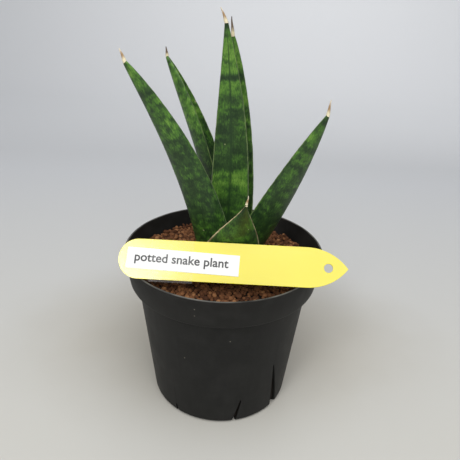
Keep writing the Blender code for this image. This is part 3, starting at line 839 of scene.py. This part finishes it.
BLADES = (
    Blade("front_leaf", "leaf_front", foot=(0.3, -14.0), tip=(11.0, -36.0, 144.8), arch=(-0.3, 2.4),
          face=94.0, twist=12.0, fold=88.0, half_width=20.0, shoulder=3.0, taper=1.62,
          thickness=3.2, spine=(0.7, 0.0, 4.9), seed=1.3, margin_width=0.045, dry_margin=True, tip_half_width=0.62,
          pale=((0.0, -0.2), (0.55, 0.0), (0.8, 0.1), (1.0, -0.3))),
    Blade("left_leaf", "leaf_left", foot=(-2.5, -6.0), tip=(-52.0, -14.0, 209.9), arch=(10.0, -2.0),
          face=80.0, twist=-20.0, fold=80.0, half_width=12.3, shoulder=2.08, taper=0.78,
          thickness=4.2, spine=(-2.0, 0.0, 6.0), seed=2.7, spread=0.8, band_mm=3.3,
          pale=((0.0, 0.1), (0.3, -0.1), (0.45, -0.4), (0.58, -0.15), (0.64, -0.45), (0.7, 0.0), (0.75, 0.25),
                (0.79, 0.05), (0.84, 0.2), (0.88, -0.45), (0.92, 0.35), (0.97, 0.5), (1.0, 0.0))),
    Blade("right_leaf", "leaf_right", foot=(3.5, 2.0), tip=(52.8, -6.0, 185.0), arch=(1.1, -1.0),
          face=100.0, twist=22.0, fold=75.0, half_width=10.5, shoulder=3.2, taper=0.92,
          thickness=4.0, spine=(0.6, 0.0, 8.0), seed=4.1, spread=0.7, band_mm=3.6,
          pale=((0.0, -0.5), (0.4, -0.45), (0.6, -0.1), (0.72, -0.2), (0.79, 0.35), (0.82, -0.3), (0.87, 0.4),
                (0.93, 0.3), (0.96, -0.3), (1.0, -0.2))),
    Blade("centre_leaf", "leaf_centre", foot=(-0.2, 9.0), tip=(-2.7, 17.0, 227.2), arch=(3.7, 2.0),
          face=-92.0, twist=0.0, fold=85.0, half_width=13.5, shoulder=2.3, taper=1.09,
          thickness=4.2, spine=(-3.0, 0.0, 7.0), seed=5.9, margin_width=0.016, spread=0.3, band_mm=4.4,
          pale=((0.0, -0.3), (0.3, -0.2), (0.36, 0.4), (0.42, 0.55), (0.46, -0.25), (0.68, -0.3), (0.71, 0.3),
                (0.73, -0.1), (0.76, 0.5), (0.79, 0.4), (0.8, -0.35), (0.82, 0.55), (0.84, 0.15), (0.86, 0.7),
                (0.93, 0.7), (0.97, -0.1), (1.0, -0.3))),
    Blade("centre_back_leaf", "leaf_centre_back", foot=(6.0, 17.0), tip=(0.9, 28.0, 219.4), arch=(3.7, 2.0),
          face=-85.0, twist=0.0, fold=80.0, half_width=11.0, shoulder=2.05, taper=0.78,
          thickness=3.8, spine=(-0.8, 0.0, 9.7), seed=7.2, margin_width=0.02, spread=0.22, dark_spine=True,
          pale=((0.0, -0.3), (0.4, -0.1), (0.7, 0.2), (0.82, 0.3), (0.84, -0.6), (0.88, 0.6), (0.95, 0.6),
                (1.0, 0.2))),
    Blade("back_left_leaf", "leaf_back_left", foot=(3.5, 34.0), tip=(-37.9, 44.0, 205.0), arch=(4.5, 3.0),
          face=-25.0, twist=30.0, fold=170.0, opening=-0.1, half_width=16.5, shoulder=4.0, taper=0.83,
          thickness=3.4, spine=(-0.4, 0.0, 5.0), seed=8.8, spread=0.8, band_mm=3.3, dark_spine=True,
          pale=((0.0, -0.6), (0.45, -0.5), (0.6, -0.1), (0.66, 0.1), (0.7, 0.6), (0.8, 0.55), (0.83, 0.0),
                (0.9, 0.4), (1.0, 0.1))),
)


def grow_leaves() -> None:
    """Build the plant's six leaves."""
    dry = {False: DrySpine().make(),
           True: DrySpine("dried_leaf_spine_dark", "e6d8b4", "6b5846", "5a5048").make()}
    for blade in BLADES:
        blade.build(dry)


# --- Growing medium ---

@dataclass
class GranuleBed:
    """The clay granules that lie on the bed, each a small rounded lump."""

    reach: float = 55.6
    pitch: float = 2.35
    size: float = 1.28        # mean radius
    kinds: int = 6
    extra: int = 420
    gap: float = 0.9          # kept round a leaf
    jitter: float = 0.55
    row_share: float = 0.866  # row spacing over pitch, in a triangular grid
    bottom_layer: tuple = (-0.1, 0.8)   # heights over the bed
    top_layer: tuple = (1.2, 2.0)
    size_range: tuple = (0.72, 1.22)
    seed: int = 11

    def surface(self, radius: float) -> float:
        """Height of the bed at a radius."""
        return FILL_HEIGHT + MOUND * (1.0 - (radius / self.reach) ** 2)

    def lumps(self, rng: random.Random) -> list:
        """The few granule shapes that are repeated.

        Args:
            rng: The source of chance.

        Returns:
            Meshes of rounded, uneven cubes of radius 1.
        """
        made = []
        for kind in range(self.kinds):
            shape = bmesh.new()
            bmesh.ops.create_cube(shape, size=1.3)
            bmesh.ops.subdivide_edges(shape, edges=shape.edges, cuts=1, smooth=1.0, use_grid_fill=True)
            for vert in shape.verts:
                vert.co = vert.co.normalized() * (0.72 + 0.28 * vert.co.length) * rng.uniform(0.86, 1.14)
            bmesh.ops.scale(shape, vec=(rng.uniform(0.85, 1.2), 1.0, rng.uniform(0.7, 0.95)), verts=shape.verts)
            shape.verts.layers.float.new("tint")
            data = bpy.data.meshes.new(f"granule_{kind}")
            shape.to_mesh(data)
            shape.free()
            made.append(data)
        return made

    def spots(self, rng: random.Random) -> list:
        """Where granules lie: a jittered layer all over, and a looser one on top.

        Args:
            rng: The source of chance.

        Returns:
            (x, y, height over the bed) of each.
        """
        rows = int(self.reach / (self.pitch * self.row_share)) + 1
        found = []
        for row in range(-rows, rows + 1):
            for column in range(-rows - 1, rows + 2):
                x = (column + 0.5 * (row % 2)) * self.pitch + rng.uniform(-self.jitter, self.jitter)
                y = row * self.pitch * self.row_share + rng.uniform(-self.jitter, self.jitter)
                if hypot(x, y) < self.reach:
                    found.append((x, y, rng.uniform(*self.bottom_layer)))
        for _ in range(self.extra):
            turn, far = rng.uniform(0.0, 2.0 * pi), self.reach * sqrt(rng.random())
            found.append((far * cos(turn), far * sin(turn), rng.uniform(*self.top_layer)))
        return found

    def clear_of(self, blades: tuple) -> list:
        """Points of the leaves' skins near the bed, which granules keep off.

        Args:
            blades: The leaves.

        Returns:
            The points.
        """
        skin = []
        for blade in blades:
            for ring in range(40):
                t = ring / 100.0
                for step in range(28):
                    point = blade.point(2.0 * pi * step / 28, t)[0]
                    if FILL_HEIGHT - 2.0 < point.z < FILL_HEIGHT + 5.0:
                        skin.append(point)
        return skin

    def build(self, blades: tuple, clay: Material) -> None:
        """Scatter the granules, as one piece.

        Args:
            blades: The leaves to keep clear of.
            clay: The granules' material.
        """
        rng = random.Random(self.seed)
        lumps = self.lumps(rng)
        skin = self.clear_of(blades)
        shape = bmesh.new()
        shape.verts.layers.float.new("tint")
        for x, y, over in self.spots(rng):
            size = self.size * rng.uniform(*self.size_range)
            tint = rng.betavariate(2.0, 2.6)
            turn = Matrix.Rotation(rng.uniform(0, 6.28), 4, "Z") @ Matrix.Rotation(rng.uniform(-0.9, 0.9), 4, "X")
            data = lumps[rng.randrange(self.kinds)]
            spot = Vector((x, y, self.surface(hypot(x, y)) + over))
            keep_off = self.gap + size * 0.55
            if hypot(x, y) + size > self.reach + 1.0 or any(
                    (spot - point).length_squared < keep_off * keep_off for point in skin):
                continue
            copied = data.copy()
            copied.transform(Matrix.Translation(spot) @ turn @ Matrix.Scale(size, 4))
            copied.attributes["tint"].data.foreach_set("value", [tint] * len(copied.vertices))
            shape.from_mesh(copied)
            bpy.data.meshes.remove(copied)
        attach(finish_mesh(shape, "clay_granules", [clay], 180.0), Slot.GRANULES)


# --- Plant label ---

@dataclass
class PlantLabel:
    """The yellow label that leans on the front leaf, with its sticker, print and tape.

    Its own frame has x along it from its round end's lower corner, y up it and z out of its face.
    """

    length: float = 124.3
    width: float = 22.0
    thickness: float = 0.8
    point_length: float = 22.0
    lean: float = 40.0
    yaw: float = -2.15
    place: tuple = (-57.2, -40.8)
    hole_radius: float = 2.4
    hole_inset: float = 10.7
    edge_round: float = 0.12
    sticker_size: tuple = (61.0, 11.4)
    sticker_centre: tuple = (35.2, 10.5)
    sticker_turn: float = -1.75
    sticker_thickness: float = 0.15
    sticker_level: float = 0.06    # of its underside, over the label's face
    tape_size: tuple = (23.7, 23.0)
    tape_centre: tuple = (29.2, 10.2)
    tape_level: float = 0.37
    tape_thickness: float = 0.12
    tape_ripple: float = 0.05
    ripples_per_mm: float = 0.16
    lettering: str = "potted snake plant"
    lettering_start: tuple = (8.9, 9.8, 0.28)
    lettering_length: float = 51.0
    lettering_weight: float = 0.016    # how far the strokes are thickened, over the type's size
    ink_thickness: float = 0.03

    def matrix(self) -> Matrix:
        """Where the label's own frame is in the row frame, in millimetres."""
        up = POT_HEIGHT + CLEARANCE + self.thickness * sin(radians(self.lean))
        return (Matrix.Translation((*self.place, up)) @ Matrix.Rotation(radians(self.yaw), 4, "Z")
                @ Matrix.Rotation(radians(90.0 - self.lean), 4, "X"))

    def outline(self, shape: BMesh) -> list:
        """Draw the label's outline: a half-round end, straight sides and a pointed end.

        Args:
            shape: The bmesh that it is drawn in.

        Returns:
            Its edges.
        """
        radius = self.width / 2.0
        start = shape.verts.new((radius, 0.0, 0.0))
        spun = bmesh.ops.spin(shape, geom=[start], axis=(0, 0, 1), cent=(radius, radius, 0.0), angle=-pi,
                              steps=24, use_merge=False)
        end = next(part for part in spun["geom_last"] if isinstance(part, BMVert))
        reach = (self.point_length ** 2 + radius ** 2) / self.width
        sweep = asin(self.point_length / reach)
        shoulder = self.length - self.point_length
        for corner, side, centre, turn in ((start, 0.0, reach, sweep), (end, self.width, self.width - reach, -sweep)):
            bend = shape.verts.new((shoulder, side, 0.0))
            bmesh.ops.spin(shape, geom=[bend], axis=(0, 0, 1), cent=(shoulder, centre, 0.0), angle=turn,
                           steps=12, use_merge=False)
            shape.edges.new((corner, bend))
        bmesh.ops.remove_doubles(shape, verts=shape.verts, dist=0.01)
        hole = bmesh.ops.create_circle(shape, segments=32, radius=self.hole_radius)["verts"]
        bmesh.ops.translate(shape, vec=(self.length - self.hole_inset, radius, 0.0), verts=hole)
        return list(shape.edges)

    def plate(self) -> None:
        """Cut the label's plate, give it its thickness and soften its edges."""
        shape = bmesh.new()
        bmesh.ops.triangle_fill(shape, use_beauty=True, use_dissolve=False, edges=self.outline(shape))
        thicken(shape, -self.thickness)
        bmesh.ops.recalc_face_normals(shape, faces=shape.faces)
        sharp = [edge for edge in shape.edges if len(edge.link_faces) == 2
                 and edge.calc_face_angle() > radians(60.0)]
        bmesh.ops.bevel(shape, geom=sharp, offset=self.edge_round, offset_type="OFFSET", segments=2,
                        profile=0.5, affect="EDGES", material=-1, clamp_overlap=True)
        bmesh.ops.transform(shape, matrix=self.matrix(), verts=shape.verts)
        attach(finish_mesh(shape, "label_plate", [LabelPlastic().make()], 20.0), Slot.LABEL, "plant_label")

    def sheet(self, name: str, size: tuple, centre: tuple, turn: float, level: float, thickness: float,
              ripple: float, material: Material) -> Object:
        """A thin sheet stuck on the label.

        Args:
            name: The piece's name.
            size: Its length along the label and its width up it.
            centre: Its centre, along and up the label.
            turn: Degrees that it is turned.
            level: Height of its underside over the label's face.
            thickness: Its thickness.
            ripple: How far its upper side rises and falls.
            material: Its material.

        Returns:
            The sheet.
        """
        shape = bmesh.new()
        bmesh.ops.create_grid(shape, x_segments=24, y_segments=12, size=0.5)
        bmesh.ops.scale(shape, vec=(*size, 1.0), verts=shape.verts)
        for vert in shape.verts:
            spot = Vector((vert.co.x * self.ripples_per_mm, vert.co.y * self.ripples_per_mm, 3.0))
            vert.co.z = ripple * (0.5 + 0.5 * noise.noise(spot))
        thicken(shape, -thickness)
        local = Matrix.Translation((*centre, level + thickness)) @ Matrix.Rotation(radians(turn), 4, "Z")
        bmesh.ops.transform(shape, matrix=self.matrix() @ local, verts=shape.verts)
        return finish_mesh(shape, name, [material], 40.0)

    def print_lettering(self) -> None:
        """Print the plant's plain name on the sticker."""
        curve = bpy.data.curves.new("lettering", "FONT")
        curve.body = self.lettering
        curve.size = 1.0
        curve.offset = self.lettering_weight
        curve.resolution_u = 4
        typed = bpy.data.objects.new("lettering_type", curve)
        bpy.context.scene.collection.objects.link(typed)
        data = bpy.data.meshes.new_from_object(typed.evaluated_get(bpy.context.evaluated_depsgraph_get()))
        bpy.data.objects.remove(typed)
        shape = bmesh.new()
        shape.from_mesh(data)
        bpy.data.meshes.remove(data)
        left = min(vert.co.x for vert in shape.verts)
        right = max(vert.co.x for vert in shape.verts)
        size = self.lettering_length / (right - left)
        bmesh.ops.translate(shape, vec=(-left, 0.0, 0.0), verts=shape.verts)
        bmesh.ops.scale(shape, vec=(size, size, 1.0), verts=shape.verts)
        thicken(shape, self.ink_thickness)
        local = Matrix.Translation(self.lettering_start) @ Matrix.Rotation(radians(self.sticker_turn), 4, "Z")
        bmesh.ops.transform(shape, matrix=self.matrix() @ local, verts=shape.verts)
        attach(finish_mesh(shape, "sticker_lettering", [PRINTED_INK.make()], 30.0), Slot.STICKER)

    def build(self) -> None:
        """Build the label and everything on it."""
        self.plate()
        sticker = self.sheet("white_sticker", self.sticker_size, self.sticker_centre, self.sticker_turn,
                             self.sticker_level, self.sticker_thickness, 0.0, LABEL_PAPER.make())
        attach(sticker, Slot.STICKER, "label_sticker")
        self.print_lettering()
        tape = self.sheet("clear_tape_band", self.tape_size, self.tape_centre, 0.0, self.tape_level,
                          self.tape_thickness, self.tape_ripple, CLEAR_TAPE.make())
        attach(tape, Slot.TAPE, "label_tape")


# --- Studio ---

@dataclass
class Studio:
    """The pale floor that rises behind the plant, the lamps and the camera."""

    floor_half: float = 3000.0
    wall_at: float = 1500.0
    sweep: float = 700.0
    wall_height: float = 2600.0
    camera_place: tuple = (0.755, -278.95, 251.22)
    camera_forward: tuple = (0.00820, 0.89506, -0.44587)
    camera_roll: float = 2.21
    lens: float = 40.7

    def floor(self) -> None:
        """A floor that sweeps up into a wall, so that no horizon shows."""
        shape = bmesh.new()
        front = shape.verts.new((-self.floor_half, -self.floor_half, 0.0))
        back = shape.verts.new((-self.floor_half, self.wall_at - self.sweep, 0.0))
        shape.edges.new((front, back))
        spun = bmesh.ops.spin(shape, geom=[back], axis=(1, 0, 0), angle=pi / 2.0, steps=24,
                              cent=(-self.floor_half, self.wall_at - self.sweep, self.sweep), use_merge=False)
        last = next(part for part in spun["geom_last"] if isinstance(part, BMVert))
        top = shape.verts.new((-self.floor_half, self.wall_at, self.wall_height))
        shape.edges.new((last, top))
        far = new_verts(bmesh.ops.extrude_edge_only(shape, edges=list(shape.edges)))
        bmesh.ops.translate(shape, vec=(2.0 * self.floor_half, 0.0, 0.0), verts=far)
        finish_mesh(shape, "studio_floor", [StudioPaint().make()], 30.0)

    def lamp(self, name: str, place: tuple, size: float, power: float, colour: str,
             target: tuple = (0.0, 0.0, 0.11)) -> None:
        """A soft square lamp.

        Args:
            name: The lamp's name.
            place: Where it is, in metres.
            size: Its side, in metres.
            power: Its power in watts.
            colour: Its sRGB hex colour.
            target: The point that it faces, in metres: the plant's middle if none is given.
        """
        light = bpy.data.lights.new(name, "AREA")
        light.size = size
        light.energy = power
        light.color = linear(colour)[:3]
        item = bpy.data.objects.new(name, light)
        item.location = place
        item.rotation_euler = (Vector(target) - Vector(place)).to_track_quat("-Z", "Y").to_euler()
        bpy.context.scene.collection.objects.link(item)

    def lamps(self) -> None:
        """A small lamp that shines on the label, broad ones in front and above, one for the wall, a pale room."""
        self.lamp("shine_lamp", (-0.29, -0.632, 0.755), 0.19, 1.6, "ffffff")
        self.lamp("front_lamp", (0.0, -0.8, 1.18), 1.1, 11.0, "fffefa")
        self.lamp("top_lamp", (0.2, -0.25, 1.6), 1.3, 7.0, "fafbff")
        self.lamp("wall_lamp", (0.25, 0.45, 1.0), 0.9, 8.8, "ffffff", (0.3, 1.5, 1.0))
        world = bpy.data.worlds.new("studio_room")
        bpy.context.scene.world = world
        world.use_nodes = True
        sky = world.node_tree.nodes["Background"]
        sky.inputs["Color"].default_value = linear("dfe3e8")
        sky.inputs["Strength"].default_value = 0.4
        bpy.context.scene.view_settings.view_transform = "Standard"

    def camera(self) -> None:
        """The camera, a little above the plant and looking down at it."""
        data = bpy.data.cameras.new("studio_camera")
        data.lens = self.lens
        data.sensor_width = 36.0
        data.clip_start = 0.01
        item = bpy.data.objects.new("studio_camera", data)
        aim = Vector(self.camera_forward).to_track_quat("-Z", "Y").to_matrix().to_4x4()
        roll = Matrix.Rotation(radians(self.camera_roll), 4, "Z")
        item.matrix_world = Matrix.Translation(Vector(self.camera_place) * MM) @ aim @ roll
        bpy.context.scene.collection.objects.link(item)
        bpy.context.scene.camera = item

    def build(self) -> None:
        """Set the studio up."""
        self.floor()
        self.lamps()
        self.camera()


def dress(nodes: dict, names: list, material: Material) -> None:
    """Give carried-over CAD nodes their material.

    Args:
        nodes: The CAD objects by name.
        names: The nodes to dress.
        material: Their material.
    """
    for name in names:
        nodes[name].data.materials.clear()
        nodes[name].data.materials.append(material)
        LOG.info("%s: %s", name, material.name)


def main() -> None:
    """Build the plant and its studio."""
    logging.basicConfig(level=logging.INFO, format="%(name)s %(message)s")
    clay = FiredClay().make()
    NurseryPot().build()
    grow_leaves()
    GranuleBed().build(BLADES, clay)
    PlantLabel().build()
    roots = sorted(name for name in frame["nodes"] if name.startswith("root_"))
    dress(frame["nodes"], ["rhizome", *roots], RHIZOME_RIND.make())
    # Painted shade: a darker copy of the clay for the growing medium, which shows only in the shade inside the pot,
    # through its slits.
    shaded_clay = FiredClay("akadama_clay_painted_shade", ("140d08", "1d140d", "281b12", "33241a", "3e2c20")).make()
    dress(frame["nodes"], ["growing_medium"], shaded_clay)
    Studio().build()


if __name__ == "__main__":
    main()
